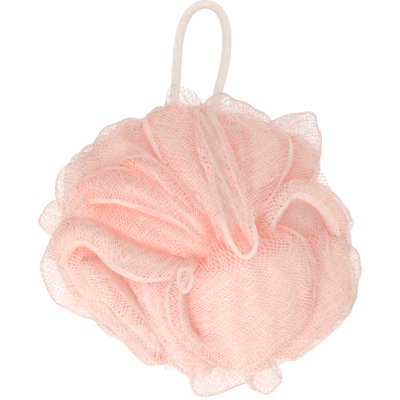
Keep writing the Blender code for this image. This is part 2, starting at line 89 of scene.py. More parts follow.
# How far crossings stray, in shares of half a diamond, how far a cut edge frays, and the slow waves by which
# the diamonds stretch: (size, length along the fold, length across it) in millimetres
STRAY = 0.19
FRAY = 0.8 * MM
STRETCHES = ((0.8, 14, 23), (0.6, 31, -12), (0.3, 5, 7))

# Behind the outer strands lie more layers of netting, so dense that they close the view.
LINING_DEPTH = 1.8 * MM
LINING_GRAIN = 2.4 * MM

# How open the netting is to the light, which sets its painted shade, is found by looking out from points so
# far apart, so many ways, turned so much from one to the next, and so far
OPENNESS_GRAIN = 3 * MM
LOOKS = 14
LOOK_TURN = 2.4
SIGHT = 45 * MM

# Netting less open than this lies so deep between the folds that its strands are left out: among the upper
# folds and bands, and in the bunch and the lower folds
HIDDEN = 0.12
HIDDEN_BELOW = 0.02

# A rim is a crease where the strands crowd: so many run along a fold's rim or a band's edge, so far apart.
RIM_STRANDS = 5
BAND_RIM_STRANDS = 9
RIM_SPACING = 0.27 * MM

# Two small hems on top, (points in millimetres, whether it closes on itself): the lip in which the tongue
# ends, and the mouth of the small loop beside the dome. So many strands run along a hem, it is rounded so
# high and leans outwards so much, and the netting within it lies so deep, painted deeper in colour as shade.
HEM_STRANDS = 7
HEM_BOW = 0.35 * MM
HEM_LEAN = 0.35
HEM_DEPTH = 2 * MM
HEMS = {
    "tongue_lip": ([
        (8, 16, 87), (9.2, 9, 89.5), (11.2, 3, 91.2), (13.6, -1.5, 91.7), (16.4, -5, 91.2),
        (19.8, -5, 91.2), (22.2, -1, 91.7), (22, 4, 91.2), (20.3, 10, 89.2), (18.3, 17, 86.5),
    ], False),
    "small_loop": ([
        (-7.4, -11, 84), (-8.2, -15, 84), (-6.8, -19, 83.5), (-4.6, -18.4, 83.5), (-3, -14, 84),
        (-4.6, -10.4, 84),
    ], True),
}

# Creases along the bands, how many on each, how high and wide such a crease is, and how many widths beside
# it its valley lies
CREASES = {
    "lower_face": 3, "cup_face": 1, "second_rim": 1, "upper_band": 1, "right_face": 2, "smooth_face": 1,
    "right_flank": 1, "upper_left_face": 1,
}
CREASE_HEIGHT = 0.7 * MM
CREASE_WIDTH = 1.2 * MM
CREASE_VALLEY = 1.9

# Small waves of the netting, (lengths, sizes): the pleats of a fold's faces, the scallops of its rim, how its
# thickness varies in shares, how its pleats drift in radians, and how a band's creases wander
PLEATS = ((23 * MM, 11 * MM, 6 * MM), (0.7 * MM, 0.4 * MM, 0.15 * MM))
SCALLOPS = ((21 * MM, 9 * MM), (0.35 * MM, 0.18 * MM))
PUFF = ((24 * MM, 11 * MM), (0.22, 0.16))
DRIFT = ((17 * MM, 31 * MM), (0.8, 0.9))
WANDER = ((40 * MM, 15 * MM), (1.2 * MM, 0.5 * MM))

# Ripples that run slantwise over a band: (least and greatest length across it, greatest length along it,
# size) in millimetres
RIPPLES = ((7, 12, 80, 0.45), (5, 9, 60, 0.35), (4, 6, 14, 0.15))

# The pleats of the bunch: how many of each kind go round it, and their sizes
BUNCH_PLEATS = ((23, 41), (0.5 * MM, 0.3 * MM))

# The cord, with the length of a turn of its braid and of a rib, and where its two legs start beside the knot
CORD_DIAMETER = 3.8 * MM
BRAID_PITCH = 1.5 * MM
RIB_PITCH = 0.95 * MM
LEG_SPREAD = 7 * MM
LEG_STRAIGHT = 6 * MM
KNOT_FRONT = WAIST[1] + WAIST_RADIUS + 7.1 * MM

# The camera's height over the waist, and how wide and where the picture is at the waist's height, in metres
CAMERA_HEIGHT = 1.2
PICTURE_WIDTH = 0.1648
PICTURE_MIDDLE = (0.0002, 0.0171)

# The light: an even sky and two lamps, (name, place, size, watts), and how much of the floor's white is its
# own, so that the shadow on it stays faint
SKY_STRENGTH = 0.89
LAMPS = [("key", (-0.5, -0.75, 0.7), 0.5, 5.8), ("fill", (0.6, 0.3, 0.8), 0.8, 0.8)]
FLOOR_GLOW = 0.96

# Upper folds round the outside. Each rim is a line through given points, (x, y, height) in
# millimetres at the drawn size.
UPPER_FOLDS = {
    "beside_cord_left": [
        (-16, 46, 47), (-14, 56, 47), (-12, 63, 47), (-7, 64, 48), (-1, 60, 49), (3, 53, 50),
    ],
    "beside_cord_right": [(0, 52, 42), (4, 59, 43), (9, 61, 44), (19, 57, 46), (29, 50, 47), (37, 41, 47)],
    "corner": [
        (24, 42, 52), (30, 50, 54), (38, 52, 54), (47, 52, 52), (50, 41, 50), (48, 33, 50), (40, 25, 53),
    ],
    "right_shoulder": [(42, 36, 45), (49, 31, 45), (54, 22, 44), (60, 11, 43), (57, 4, 43), (50, -2, 44)],
    "right_edge": [(52, 5, 46), (64, -3, 45), (66, -14, 44), (64, -26, 44), (57, -32, 45), (49, -30, 47)],
    "lower_right": [(59, -27, 37), (53, -38, 37), (45, -43, 38), (34, -44, 39), (26, -43, 41)],
    "bottom_tab": [
        (-6, -46, 45), (-4, -56, 42), (-2, -63, 40), (4, -64, 38), (12, -61, 38), (20, -58, 39),
        (24, -51, 42),
    ],
    "bottom_corner": [
        (19, -54, 38), (22, -61, 36), (27, -64, 35), (31, -61, 35), (34, -57, 36), (30, -53, 39),
        (25, -48, 42),
    ],
    "cut_end": [(-38, -33, 45), (-25, -44, 44), (-14, -52, 44), (-9, -50, 46), (-4, -43, 48)],
    "left_edge": [
        (-58, 4, 44), (-65, -6, 43), (-64, -17, 42), (-60, -25, 42), (-51, -29, 42), (-40, -34, 43),
        (-33, -33, 45),
    ],
    "left_point": [(-54, 20, 47), (-61, 16, 46), (-66, 9, 44), (-62, 3, 44), (-55, 4, 46)],
    "left_knob": [(-55, 12, 50), (-59, 18, 51), (-58, 27, 52), (-52, 32, 54), (-47, 29, 55), (-46, 21, 57)],
    "left_knob_behind": [(-47, 24, 50), (-50, 33, 48), (-47, 39, 48), (-42, 39, 49), (-39, 32, 52)],
    "upper_left": [
        (-45, 34, 50), (-41, 45, 50), (-32, 50, 51), (-26, 50, 52), (-22, 46, 54), (-20, 35, 58),
    ],
    "top_left": [(-23, 44, 56), (-21, 52, 55), (-15, 55, 56), (-7, 54, 58), (0, 50, 60), (4, 40, 64)],
}

# Upper bands: the folds in front, whose broad backs are seen. Each lies between two edges, which are lines
# through given points like the rims, and it bellies up by so many millimetres between them. From
# both edges its sides run down to the waist.
UPPER_BANDS = {
    "tongue": {
        "left": [
            (-3, 52, 66), (0, 43, 74), (3, 31, 80), (6, 19, 84), (9, 8, 87), (12, 0, 87), (16, -5, 83),
        ],
        "right": [
            (5, 51, 64), (10, 41, 72), (14, 30, 78), (18, 18, 83), (20, 9, 86), (22, 2, 86), (22, -4, 83),
        ],
        "belly": -3.5,
    },
    "smooth_face": {
        "left": [(-21, 50, 59), (-19, 42, 66), (-14, 32, 72), (-7, 22, 77), (0, 12, 81), (6, 4, 81)],
        "right": [(3, 53, 60), (6, 43, 67), (9, 31, 73), (12, 19, 78), (14, 9, 81), (13, 1, 80)],
        "belly": 4,
    },
    "upper_band": {
        "left": [(-30, 33, 65), (-22, 35, 69), (-14, 30, 74), (-7, 22, 79), (0, 13, 84), (5, 7, 83)],
        "right": [(-27, 28, 67), (-20, 25, 72), (-14, 20, 77), (-7, 14, 81), (0, 9, 84), (4, 4, 83)],
        "belly": 1,
    },
    "long_band": {
        "left": [(-47, 24, 59), (-38, 28, 63), (-27, 28, 68), (-16, 24, 74), (-6, 17, 79), (3, 9, 83)],
        "right": [(-44, 18, 61), (-36, 17, 68), (-25, 15, 74), (-15, 12, 79), (-5, 7, 83), (3, 1, 84)],
        "belly": 2,
    },
    "left_tongue": {
        "left": [
            (-47, 25, 50), (-39, 23, 57), (-26, 20, 64), (-14, 16, 70), (-3, 11, 76), (5, 6, 80), (9, 3, 80),
        ],
        "right": [
            (-50, 8, 53), (-41, 4, 59), (-29, 1, 66), (-16, -3, 72), (-4, -5, 78), (3, -5, 81), (8, -3, 80),
        ],
        "belly": 3,
    },
    "left_rim": {
        "left": [
            (-60, -3, 47), (-56, 5, 52), (-48, 10, 56), (-39, 8, 60), (-30, 2, 64), (-20, -3, 69),
            (-11, -6, 74), (-2, -7, 77),
        ],
        "right": [
            (-55, -8, 50), (-52, -2, 56), (-47, 0, 62), (-41, -3, 67), (-34, -9, 70), (-23, -14, 73),
            (-12, -14, 77), (-3, -11, 79),
        ],
        "belly": 2.5,
    },
    "cup_face": {
        "left": [
            (-57, -8, 45), (-53, -17, 45), (-46, -26, 45), (-37, -34, 44), (-28, -42, 43), (-20, -49, 42),
        ],
        "right": [
            (-42, 2, 55), (-33, -6, 59), (-24, -13, 62), (-15, -20, 62), (-9, -29, 58), (-4, -39, 52),
        ],
        "belly": 4,
    },
    "second_rim": {
        "left": [(-46, -9, 57), (-41, -19, 58), (-34, -28, 57), (-26, -37, 54), (-18, -46, 49)],
        "right": [(-41, -8, 60), (-35, -15, 63), (-28, -23, 63), (-20, -32, 60), (-14, -40, 54)],
        "belly": 1.5,
    },
    "lower_face": {
        "left": [(-27, -14, 63), (-23, -23, 63), (-19, -32, 60), (-14, -42, 53), (-9, -50, 46)],
        "right": [(-4, -13, 75), (-4, -22, 73), (-3, -32, 67), (0, -42, 59), (6, -50, 50)],
        "belly": 3,
    },
    "crevice_rim": {
        "left": [
            (-7, -10, 80), (-11, -18, 79), (-11, -28, 76), (-8, -37, 69), (1, -45, 60), (13, -50, 53),
            (25, -51, 48),
        ],
        "right": [
            (-3, -9, 82), (-7, -18, 81), (-7, -28, 78), (-4, -36, 72), (4, -41, 65), (15, -45, 58),
            (26, -46, 52),
        ],
        "belly": 1,
    },
    "dome": {
        "left": [(4, -6, 74), (-3, -10, 76), (-8, -16, 75), (-9, -27, 70), (-5, -37, 63), (7, -46, 53)],
        "right": [(22, 4, 74), (31, 6, 74), (41, 1, 68), (46, -14, 60), (43, -31, 54), (31, -43, 50)],
        "belly": 13,
    },
    "right_face": {
        "left": [(2, 49, 58), (4, 43, 64), (8, 34, 70), (11, 25, 75), (14, 16, 79), (17, 8, 81)],
        "right": [(26, 47, 56), (35, 42, 61), (36, 34, 67), (32, 25, 73), (26, 16, 79), (21, 8, 82)],
        "belly": 4,
    },
    "right_slope": {
        "left": [(27, 44, 51), (29, 34, 57), (26, 24, 65), (22, 12, 73)],
        "right": [(46, 38, 48), (47, 28, 53), (39, 19, 64), (27, 9, 74)],
        "belly": 2,
    },
    "right_arch": {
        "left": [
            (22, 2, 75), (25, 11, 76), (29, 19, 74), (37, 24, 69), (47, 23, 62), (56, 17, 55), (61, 8, 49),
        ],
        "right": [
            (26, 0, 76), (30, 9, 78), (34, 15, 77), (38, 19, 74), (45, 17, 68), (51, 12, 62), (55, 5, 56),
        ],
        "belly": 2,
    },
    "coral_crevice": {
        "left": [(17, 14, 77), (20, 6, 78), (22, -2, 78), (22, -8, 77)],
        "right": [(27, 17, 73), (28, 8, 75), (30, 1, 75), (30, -5, 74)],
        "belly": 1,
    },
    "right_hollow": {
        "left": [(27, 4, 66), (36, 0, 60), (43, -6, 54), (46, -15, 48)],
        "right": [(36, 20, 66), (46, 19, 59), (56, 12, 52), (61, 0, 46)],
        "belly": 0,
    },
    "right_flank": {
        "left": [(40, 1, 58), (42, -10, 54), (41, -23, 51), (35, -35, 49), (27, -45, 46)],
        "right": [(56, 4, 50), (61, -8, 46), (62, -22, 44), (56, -34, 42), (42, -45, 40)],
        "belly": 4,
    },
    "upper_left_face": {
        "left": [(-47, 32, 48), (-40, 28, 56), (-30, 24, 63), (-20, 20, 69)],
        "right": [(-13, 51, 51), (-9, 43, 58), (-3, 33, 65), (4, 21, 72)],
        "belly": 6,
    },
    "left_side_face": {
        "left": [(-54, 28, 48), (-54, 17, 50), (-54, 5, 49)],
        "right": [(-41, 34, 52), (-36, 22, 57), (-37, 8, 57)],
        "belly": 4,
    },
}

# Lower folds run right round the waist. Each is a rim of so many lobes, with its mean half width, half
# depth and height, how far the lobes swing in and out, up and down and back over themselves (degrees),
# how much higher one side of the rim lies than the middle, and the turn of the first lobe and of that
# side (degrees). Lengths are in millimetres at the drawn size.
LOWER_FOLDS = [
    {
        "half": (52, 47), "height": 37, "lobes": 9, "swing": 4.0, "rise": 11.0,
        "fold_back": 14, "slope": 2, "turn": 10,
    },
    {
        "half": (51, 48), "height": 27, "lobes": 8, "swing": 5.0, "rise": 12.0,
        "fold_back": 18, "slope": 4, "turn": 215,
    },
    {
        "half": (46, 43), "height": 18, "lobes": 10, "swing": 5.5, "rise": 11.0,
        "fold_back": 14, "slope": 4, "turn": 75,
    },
    {
        "half": (37, 35), "height": 9, "lobes": 8, "swing": 5.5, "rise": 8.0,
        "fold_back": 18, "slope": 2, "turn": 300,
    },
    {
        "half": (23, 22), "height": 3, "lobes": 6, "swing": 4.5, "rise": 4.0,
        "fold_back": 20, "slope": 0, "turn": 20,
    },
]

# The cord's route from the knot to the loop and back, (x, y, height) in millimetres. It is the cord's own
# line, and it comes down to lie on the shelf at the loop's end.
LOOP_ROUTE = [
    (-9.0, 30, 41), (-11.3, 44, 36.5), (-10.8, 56, 29.5), (-10.0, 66, 22.5),
    (-9.5, 74, 16.0), (-9.0, 82, 10.0), (-7.9, 89, 5.4), (-5.6, 95, 2.8), (-2.2, 98.8, 2.1),
    (2.2, 100.4, 2.0), (6.6, 99.2, 2.1), (9.8, 95.4, 2.8), (11.3, 90.0, 4.8), (11.6, 83.5, 8.8),
    (11.0, 76.5, 14.0), (9.6, 69.5, 19.5), (7.8, 62.5, 25.0), (6.8, 53, 30.5), (7.4, 40, 36), (7.0, 28, 40),
]

# Folds whose edge is cut: it ends in loose strands instead of a rounded rim.
CUT_FOLDS = ("beside_cord_left", "cut_end", "right_shoulder")

# How far out more layers lie behind a fold's strands, in shares of its length: in most upper folds, in lower
# folds, and in the upper folds where it is further
UPPER_REACH = 0.68
LOWER_REACH = 0.88
REACH = {
    "beside_cord_left": 0.82, "beside_cord_right": 0.84, "corner": 0.8, "cut_end": 0.93, "left_knob": 0.85,
    "upper_left": 0.8,
}

# The pieces of netting, each with the folds or bands that it holds
NETTING_PIECES = {
    "netting_right": [
        "beside_cord_right", "corner", "right_shoulder", "right_edge", "lower_right", "bottom_tab",
        "bottom_corner",
    ],
    "netting_left": [
        "beside_cord_left", "cut_end", "left_edge", "left_point", "left_knob", "left_knob_behind",
        "upper_left", "top_left",
    ],
    "bands_top": ["tongue", "smooth_face", "right_face", "upper_left_face", "upper_band"],
    "bands_left": ["long_band", "left_tongue", "left_rim", "left_side_face", "second_rim"],
    "bands_low": ["cup_face", "lower_face", "crevice_rim"],
    "bands_right": ["dome", "right_arch", "right_hollow", "right_flank", "right_slope", "coral_crevice"],
}

# How many times as wide the strands are on the bands whose netting is pressed close
BROADER = {
    "left_side_face": 1.45, "left_tongue": 1.25, "second_rim": 1.45, "lower_face": 1.45, "cup_face": 1.3,
    "left_rim": 1.3,
}

# How much less painted shade than the rest a fold, a band or the bunch gets, so paler, or how much more, so
# deeper in colour, where it is below zero
PAINTED_SHADE_SHIFTS = {
    "second_rim": 0.15, "lower_face": 0.2, "crevice_rim": 0.05, "left_tongue": -0.2, "long_band": -0.15,
    "upper_band": -0.08, "smooth_face": -0.08, "tongue": -0.05, "right_arch": 0.2, "right_hollow": 0.25,
    "right_flank": 0.15, "coral_crevice": -0.2, "bunch": 0.3,
    "lower_1": 0.1, "lower_2": 0.15, "lower_3": 0.15, "lower_4": 0.15, "lower_5": 0.15,
}


def drawn(points):
    """Points in millimetres at the drawn size, in metres at the body's own size."""
    return np.array(points, float) * np.array([BODY_WIDTH, BODY_DEPTH, BODY_HEIGHT]) / DRAWN_SPAN


def shouldered(points):
    """The points, with those between the middle and the outside raised."""
    share = np.hypot(points[:, 0] - WAIST[0], points[:, 1] - WAIST[1]) / (BODY_WIDTH / 2)
    share = np.clip(share, 0, 1)
    raised = points.copy()
    raised[:, 2] += 6.75 * share**2 * (1 - share) * SHOULDER_RISE
    return raised


def with_ends(left, right):
    """Both edges of a band, with a point added beyond each end where they nearly meet, lower down."""
    edges = [list(left), list(right)]
    for end, inner in ((0, 1), (-1, -2)):
        across = right[end] - left[end]
        middle = (left[end] + right[end]) / 2
        out = middle - (left[inner] + right[inner]) / 2
        out /= np.linalg.norm(out)
        width = np.linalg.norm(across)
        tip = middle + END_REACH * width * out - np.array([0, 0, END_DROP * width])
        for edge, side in zip(edges, (-0.5, 0.5)):
            edge.insert(0 if end == 0 else len(edge), tip + side * END_WIDTH * across)
    return np.array(edges[0]), np.array(edges[1])


def smooth_curve(points, closed):
    """A smooth curve through the points, as many points, and its length up to each."""
    points = np.array(points, float)
    if closed:
        ends = np.concatenate([points[-1:], points, points[:2]])
    else:
        ends = np.concatenate([2 * points[:1] - points[1:2], points, 2 * points[-1:] - points[-2:-1]])
    t = np.linspace(0, 1, 12, endpoint=False)[:, None]
    pieces = []
    for a, b, c, d in zip(ends, ends[1:], ends[2:], ends[3:]):
        bend = 2 * a - 5 * b + 4 * c - d
        twist = 3 * b - a - 3 * c + d
        pieces.append(b + 0.5 * ((c - a) * t + bend * t**2 + twist * t**3))
    fine = np.concatenate([*pieces, points[:1] if closed else points[-1:]])
    return fine, lengths_along(fine)


def lengths_along(points):
    """How far along the line each of its points is."""
    return np.concatenate([[0], np.cumsum(np.linalg.norm(np.diff(points, axis=0), axis=1))])


def resampled(points, at, where):
    """The line's points at the places where, given how far along each of its points is."""
    return np.stack([np.interp(where, at, points[:, k]) for k in range(3)], axis=1)


def smooth_line(points, step, closed=False):
    """A smooth curve through the points, as points about a step apart, and its length up to each."""
    fine, along = smooth_curve(points, closed)
    at = np.linspace(0, along[-1], max(6, round(along[-1] / step)) + 1)
    return resampled(fine, along, at), at


def spaced(points, count):
    """A smooth curve through the points, as so many points, each the same share of the way from one hand
    point to the next."""
    fine, _ = smooth_curve(points, False)
    return resampled(fine, np.arange(len(fine)), np.linspace(0, len(fine) - 1, count))


def unit(vectors):
    return vectors / np.maximum(np.linalg.norm(vectors, axis=-1, keepdims=True), 1e-9)


def step_between(low, high, x):
    t = np.clip((x - low) / (high - low), 0, 1)
    return t * t * (3 - 2 * t)


def bent_between(start, near, far, end, v):
    """Points at the shares v of a curve from start to end, drawn towards near and far on its way."""
    w = 1 - v
    return w**3 * start + 3 * w**2 * v * near + 3 * w * v**2 * far + v**3 * end


def ease(grid):
    """Smooths the grid's inner rows, in place."""
    grid[1:-1] = 0.25 * grid[:-2] + 0.5 * grid[1:-1] + 0.25 * grid[2:]


def sampled(grid, row, column):
    """The grid's value between its rows and columns."""
    row = np.clip(row, 0, grid.shape[0] - 1.001)
    column = np.clip(column, 0, grid.shape[1] - 1.001)
    r, c = row.astype(int), column.astype(int)
    fr, fc = (row - r)[..., None], (column - c)[..., None]
    low = grid[r, c] * (1 - fc) + grid[r, c + 1] * fc
    high = grid[r + 1, c] * (1 - fc) + grid[r + 1, c + 1] * fc
    return low * (1 - fr) + high * fr


def root_of(rim, level):
    """Where the foot of each rib of a fold leaves the waist, on the rib's own side of it."""
    out = rim - WAIST
    out[:, 2] = 0
    return np.array([WAIST[0], WAIST[1], level]) + 0.7 * WAIST_RADIUS * unit(out)


def waves(rng, lengths, sizes):
    """A smooth random line: a function that is a sum of waves of these lengths and sizes."""
    turns = rng.uniform(0, 2 * math.pi, len(lengths))
    stretch = rng.uniform(0.85, 1.2, len(lengths))

    def value(x, slant=0.0):
        total = 0.0
        for length, size, turn, share in zip(lengths, sizes, turns, stretch):
            total = total + size * np.sin(2 * math.pi * x / (length * share) + turn + slant)
        return total

    return value


class Sheet:
    """What folds, bands and the bunch share: whether it runs right round the waist, whether its edge is cut,
    and how open the netting is to the light, on a grid over it. Each has its own place, which says where the
    netting is, how open it is to the light, from 0 to 1, and which way it faces."""

    closed = False
    cut = False
    open = None

    def span(self, inset):
        """From where to where across it the netting is drawn, leaving out a share at each end."""
        return inset * self.total, (1 - inset) * self.total

    def openness(self, u, s):
        if self.open is None:
            return np.ones(np.broadcast(u, s).shape)
        row = s / self.total * (self.open.shape[0] - 1)
        column = u / self.width * (self.open.shape[1] - 1)
        return sampled(self.open, row, column)[..., 0]

    def measure_openness(self, around):
        """Looks out from points all over the sheet: the share of the view that nothing around closes."""
        rows = max(6, int(self.total / OPENNESS_GRAIN))
        columns = max(6, int(self.width / OPENNESS_GRAIN))
        u, s = np.meshgrid(np.linspace(0, self.width, columns), np.linspace(0, self.total, rows))
        points, _, facing = self.place(u, s)
        points = points + 0.5 * MM * facing
        turn = np.arange(LOOKS) * LOOK_TURN
        rise = np.sqrt(1 - (np.arange(LOOKS) + 0.5) / LOOKS)
        flat = np.sqrt(1 - rise**2)
        across = unit(np.cross(facing, [0.3, 0.5, 0.8]))
        third = np.cross(facing, across)
        seen = np.zeros(u.shape)
        for a, b, c in zip(flat * np.cos(turn), flat * np.sin(turn), rise):
            ways = a * across + b * third + c * facing
            for place in np.ndindex(u.shape):
                if around.ray_cast(Vector(points[place]), Vector(ways[place]), SIGHT)[0] is None:
                    seen[place] += 1 / LOOKS
        for _ in range(2):
            ease(seen)
            ease(seen.T)
        return seen[..., None]


class Fold(Sheet):
    """A fold of the netting: from the waist out to its rim and, round that, back to the waist."""

    def __init__(self, name, rim, belly, side, level, seed, closed=False):
        self.rng = np.random.default_rng(seed)
        self.closed = closed
        self.cut = name in CUT_FOLDS
        self.reach = LOWER_REACH if closed else REACH.get(name, UPPER_REACH)
        self.rim, at = smooth_line(rim, 1.0 * MM, closed)
        self.width = at[-1]
        root = root_of(self.rim, level)
        reach = np.linalg.norm(self.rim - root, axis=1)[:, None]
        bow = np.array([0, 0, side])
        near = root + BELLY_AT[0] * (self.rim - root) + belly[0] * reach * bow
        far = root + BELLY_AT[1] * (self.rim - root) + belly[1] * reach * bow
        v = np.linspace(0, 1, FOLD_ROWS)[:, None, None]
        self.middle = bent_between(root, near, far, self.rim, v)
        self.length = float(np.linalg.norm(np.diff(self.middle, axis=0), axis=2).sum(axis=0).mean())
        across = np.gradient(self.middle, axis=1)
        along = np.gradient(self.middle, axis=0)
        normal = unit(np.cross(across, along))
        if (normal[..., 2].mean() < 0) == (side > 0):
            normal = -normal
        self.normal = normal
        self.outward = unit(along)
        self.turn_length = math.pi * 0.5 * FOLD_THICKNESS
        self.face = self.length - 0.5 * FOLD_THICKNESS
        self.total = 2 * self.face + self.turn_length
        self.pleats = [waves(self.rng, *PLEATS) for _ in range(2)]
        self.scallops = waves(self.rng, *SCALLOPS)
        self.puff = waves(self.rng, *PUFF)
        self.drift = waves(self.rng, *DRIFT)

    def span(self, inset):
        """From where to where the netting is drawn, over the rim, leaving out a share beside the waist."""
        first = inset * self.length
        return first, self.length if self.cut else self.total - first

    def rims(self, u):
        """Where across the fold its rim is."""
        return [np.full(len(u), self.face + 0.5 * self.turn_length)]

    def place(self, u, s):
        """u goes along the rim, and s from the waist over the rim and back."""
        half = 0.5 * FOLD_THICKNESS * np.clip(0.8 + self.puff(u), 0.35, 1.3)
        turn = np.clip((s - self.face) / self.turn_length, 0, 1) * math.pi
        run = np.minimum(np.minimum(s, self.total - s), self.face)
        share = run / self.length
        row = share * (self.middle.shape[0] - 1)
        column = u / self.width * (self.middle.shape[1] - 1)
        middle = sampled(self.middle, row, column)
        normal = unit(sampled(self.normal, row, column))
        outward = unit(sampled(self.outward, row, column))
        loose = step_between(0.1, 0.55, share) * (1 - 0.3 * step_between(0.8, 1, share))
        slant = 1.7 * share + 0.9 * self.drift(u)
        front = self.pleats[0](u, slant) * loose
        back = self.pleats[1](u, -slant) * loose
        mixed = 0.5 * (1 + np.cos(turn))
        lift = np.cos(turn) * (half + mixed * front + (1 - mixed) * back)
        push = np.sin(turn) * half + step_between(0.5, 1, share) * self.scallops(u)
        facing = normal * np.cos(turn)[..., None] + outward * np.sin(turn)[..., None]
        # Towards the rim the netting is painted as open to the light, so its painted shade fades out there.
        open_to = np.maximum(self.openness(u, s), 0.9 * step_between(0.55, 0.9, share))
        return middle + lift[..., None] * normal + push[..., None] * outward, open_to, facing


class Band(Sheet):
    """A band of netting: from the waist up one side, over its broad back and down the other side."""

    def __init__(self, left, right, belly, seed, creases=0):
        self.rng = np.random.default_rng(seed)
        length = float(np.linalg.norm(np.diff(left + right, axis=0), axis=1).sum()) / 2
        count = max(12, round(length / BAND_STEP))
        left, right = spaced(left, count), spaced(right, count)
        rows = self.section(left, right, belly)
        paths, sizes, edges = [], [], []
        for column in range(count):
            at = lengths_along(rows[:, column])
            sizes.append(at[-1])
            edges.append((at[SIDE_ROWS] / at[-1], at[-1 - SIDE_ROWS] / at[-1]))
            paths.append(resampled(rows[:, column], at, np.linspace(0, at[-1], BAND_ROWS)))
        self.edges = np.array(edges).T
        self.middle = np.stack(paths, axis=1)
        for _ in range(4):
            ease(self.middle)
        self.total = float(np.mean(sizes))
        self.columns_at = lengths_along((left + right) / 2)
        self.width = self.columns_at[-1]
        normal = unit(np.cross(np.gradient(self.middle, axis=0), np.gradient(self.middle, axis=1)))
        upright = normal[BAND_ROWS // 3:2 * BAND_ROWS // 3, :, 2].mean() > 0
        self.normal = normal if upright else -normal
        self.creases = self.creases_along(creases)
        self.ripples = []
        for least, greatest, longest, size in RIPPLES:
            across = self.rng.uniform(least, greatest) * MM
            along = self.rng.uniform(0.4, 1) * longest * MM * self.rng.choice([-1, 1])
            self.ripples.append((across, along, self.rng.uniform(0, 7), size * MM))

    def creases_along(self, count):
        """Where across the band each of so many creases is, at each of its columns."""
        low, high = self.edges * self.total
        creases = []
        for number in range(count):
            share = (number + 1 + self.rng.uniform(-0.2, 0.2)) / (count + 1)
            wander = waves(self.rng, *WANDER)
            creases.append(low + share * (high - low) + wander(self.columns_at))
        return creases

    @staticmethod
    def section(left, right, belly):
        """The band's middle surface, as in the solids."""
        back = np.linspace(0, 1, BACK_ROWS)[:, None, None]
        up = unit(np.cross(right - left, np.gradient(left + right, axis=0)))
        up *= np.where(up[:, 2:] < 0, -1, 1)
        swell = belly * np.sqrt(np.sin(np.linspace(0, math.pi, len(left))).clip(0))[:, None]
        over = left + back * (right - left) + 4 * swell * back * (1 - back) * up
        level = 0.7 * WAIST[2] + 0.3 * float((left + right)[:, 2].mean()) / 2
        sides = []
        for edge in (left, right):
            root = root_of(edge, level)
            reach = np.linalg.norm(edge - root, axis=1)[:, None]
            near = root + SIDE_SPREAD * (edge - root)
            far = edge - SIDE_DROP * reach * np.array([0, 0, 1])
            v = np.linspace(0, 1, SIDE_ROWS + 1)[:-1, None, None]
            sides.append(bent_between(root, near, far, edge, v))
        return np.concatenate([sides[0], over, sides[1][::-1]])

    def rims(self, u):
        """Where across the band its two edges are."""
        return [np.interp(u, self.columns_at, edge * self.total) for edge in self.edges]

    def place(self, u, s):
        """u goes along the band, and s across it from waist to waist."""
        row = s / self.total * (self.middle.shape[0] - 1)
        column = np.interp(u, self.columns_at, np.arange(len(self.columns_at)))
        middle = sampled(self.middle, row, column)
        normal = unit(sampled(self.normal, row, column))
        open_to = self.openness(u, s)
        raised = 0
        for across, along, turn, size in self.ripples:
            raised = raised + size * np.sin(2 * math.pi * (s / across + u / along) + turn)
        for crease in self.creases:
            away = (s - np.interp(u, self.columns_at, crease)) / CREASE_WIDTH
            valley = np.exp(-((away - CREASE_VALLEY) ** 2))
            raised = raised + CREASE_HEIGHT * (np.exp(-away**2) - 0.8 * valley)
            # Painted shade in the crease's valley: its netting is painted as less open to the light.
            open_to = open_to - 0.25 * valley
        lift = 0.5 * FOLD_THICKNESS + raised
        return middle + lift[..., None] * normal, open_to, normal


class Bunch(Sheet):
    """The heart of the netting, where all its folds are drawn together: an egg with fine pleats."""

    closed = True

    def __init__(self, seed):
        self.rng = np.random.default_rng(seed)
        self.width = math.pi * float(BUNCH[:2].mean())
        self.total = 0.5 * math.pi * float(BUNCH[1:].mean())
        counts, sizes = BUNCH_PLEATS
        self.pleats = waves(self.rng, [self.width / count for count in counts], sizes)

    def place(self, u, s):
        """u goes round the waist, and s from below to above."""
        turn = 2 * math.pi * u / self.width
        rise = math.pi * (s / self.total - 0.5)
        out = np.stack([np.cos(rise) * np.cos(turn), np.cos(rise) * np.sin(turn), np.sin(rise)], axis=-1)
        facing = unit(out / BUNCH)
        fade = np.sin(math.pi * u / self.width) * np.cos(rise)
        lift = (self.pleats(u, 1.5 * rise) * fade - 0.6 * MM)[..., None]
        return WAIST + out * BUNCH / 2 + lift * facing, self.openness(u, s), facing


def joined(parts):
    """Separate (points, faces, painted light values) as one."""
    points, faces, painted_light_values = zip(*parts)
    starts = np.cumsum([0] + [len(part) for part in points])
    faces = [part + start for part, start in zip(faces, starts)]
    return np.concatenate(points), np.concatenate(faces), np.concatenate(painted_light_values)


def grid_starts(rows, columns):
    """The first point of each face of a grid of points."""
    return np.arange(rows)[:, None] * columns + np.arange(columns - 1)[None, :]


def sideways(line, facing):
    """Which way is across lines of points, one line a row, that face so."""
    return unit(np.cross(unit(np.gradient(line, axis=1)), facing))


def ribbon_points(line, side, width):
    return np.stack([line - 0.5 * width * side, line + 0.5 * width * side], axis=2).reshape(-1, 3)


def ribbon_faces(starts):
    return np.stack([starts, starts + 1, starts + 3, starts + 2], axis=1)


def ribbons(line, facing, width):
    """Flat ribbons along lines of points, one line a row."""
    starts = 2 * grid_starts(*line.shape[:2]).reshape(-1)
    return ribbon_points(line, sideways(line, facing), width), ribbon_faces(starts)


def side_by_side(count):
    """How far from their middle so many crowded strands lie."""
    return (np.arange(count) - (count - 1) / 2) * RIM_SPACING


